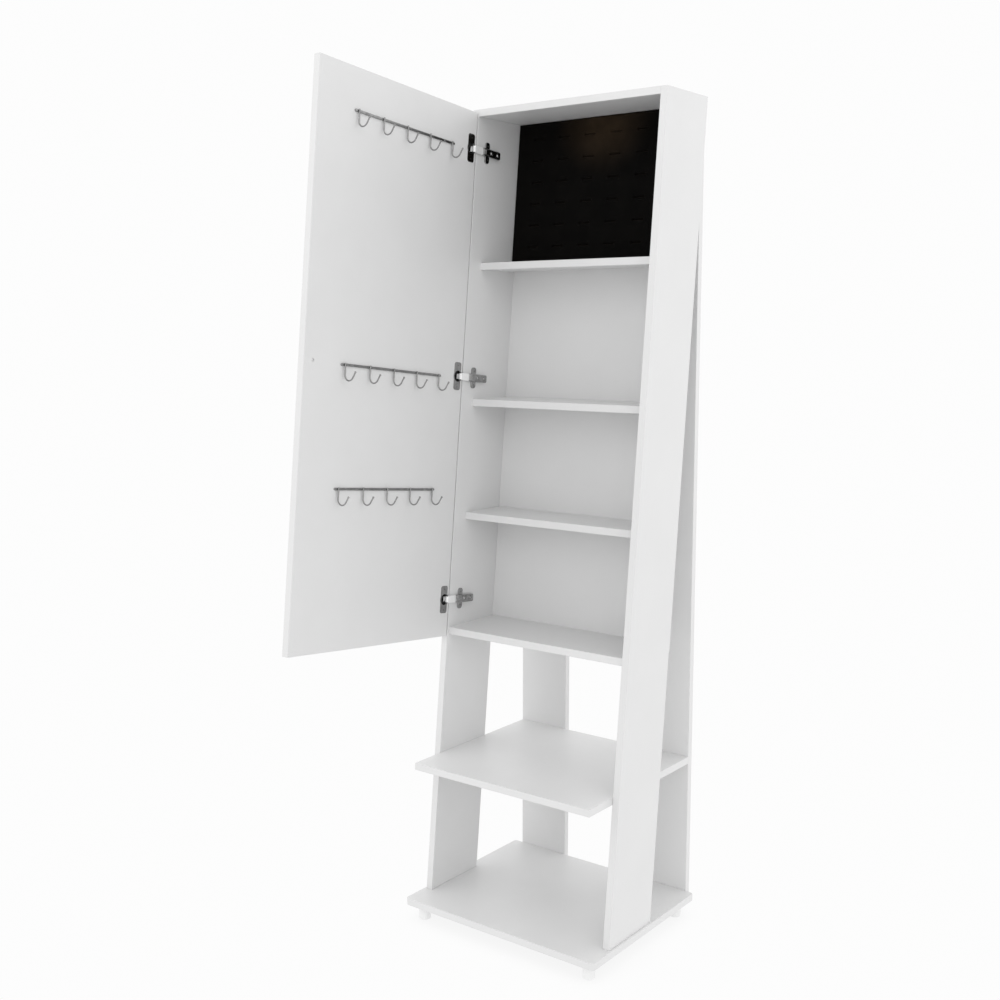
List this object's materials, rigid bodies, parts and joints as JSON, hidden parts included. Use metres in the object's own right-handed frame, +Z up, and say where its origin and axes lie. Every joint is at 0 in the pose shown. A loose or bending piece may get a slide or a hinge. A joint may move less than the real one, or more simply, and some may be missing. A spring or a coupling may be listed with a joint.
{
  "type": "jewelry armoire",
  "caption": "Tall narrow leaning cabinet with a mirrored side-hinged door, shelves, ring pad and necklace hooks, on a flat base with two rear posts.",
  "frame": {"origin": "centre of the base panel's footprint, on the floor", "axes": "+Z up, +X to the right and +Y to the back as seen from the front, so the open side of the cabinet faces -Y"},
  "size_m": [0.487, 0.7466, 1.7376],
  "materials": {
    "white_board": "smooth satin white-faced board",
    "velvet": "matt black velvet pile",
    "mirror": "silvered, clear",
    "knob_metal": "satin nickel",
    "foot_plastic": "moulded, matt white",
    "screw_steel": "zinc-plated",
    "hinge_steel": "nickel-plated pressing",
    "rack_metal": "bright nickel",
    "dowel_wood": "unfinished beech"
  },
  "bodies": {
    "carcass": {"back_nails": "screw_steel", "back_panel": "white_board", "base_panel": "white_board", "base_screws": "screw_steel", "cabinet_floor": "white_board", "foot_screws": "screw_steel", "front_left_foot": "foot_plastic", "front_right_foot": "foot_plastic", "hinge_arm_screws": "screw_steel", "hinge_plate_screws": "screw_steel", "hinge_rivets": "hinge_steel", "left_rear_post": "white_board", "left_side_panel": "white_board", "lower_hinge_arm": "hinge_steel", "lower_hinge_link": "hinge_steel", "lower_hinge_plate": "hinge_steel", "lower_shelf": "white_board", "middle_hinge_arm": "hinge_steel", "middle_hinge_link": "hinge_steel", "middle_hinge_plate": "hinge_steel", "middle_shelf": "white_board", "open_shelf": "white_board", "post_screws": "screw_steel", "rear_left_foot": "foot_plastic", "rear_right_foot": "foot_plastic", "right_rear_post": "white_board", "right_side_panel": "white_board", "ring_pad": "velvet", "shelf_dowels": "dowel_wood", "top_panel": "white_board", "upper_hinge_arm": "hinge_steel", "upper_hinge_link": "hinge_steel", "upper_hinge_plate": "hinge_steel", "upper_shelf": "white_board"},
    "door": {"door_knob": "knob_metal", "door_mirror": "mirror", "door_panel": "white_board", "hinge_cup_screws": "screw_steel", "hinge_pins": "hinge_steel", "knob_screw": "screw_steel", "lower_hinge_cup": "hinge_steel", "lower_rack_bar": "rack_metal", "lower_rack_hooks": "rack_metal", "middle_hinge_cup": "hinge_steel", "middle_rack_bar": "rack_metal", "middle_rack_hooks": "rack_metal", "rack_screws": "screw_steel", "upper_hinge_cup": "hinge_steel", "upper_rack_bar": "rack_metal", "upper_rack_hooks": "rack_metal"}
  },
  "joints": [
    {"name": "door_swing", "type": "hinge", "parent": "carcass", "child": "door", "pos_m": [-0.22475, -0.0297, 1.1452], "axis": [0, 0.1024, 0.9947], "range_deg": [-15, 90]}
  ]
}
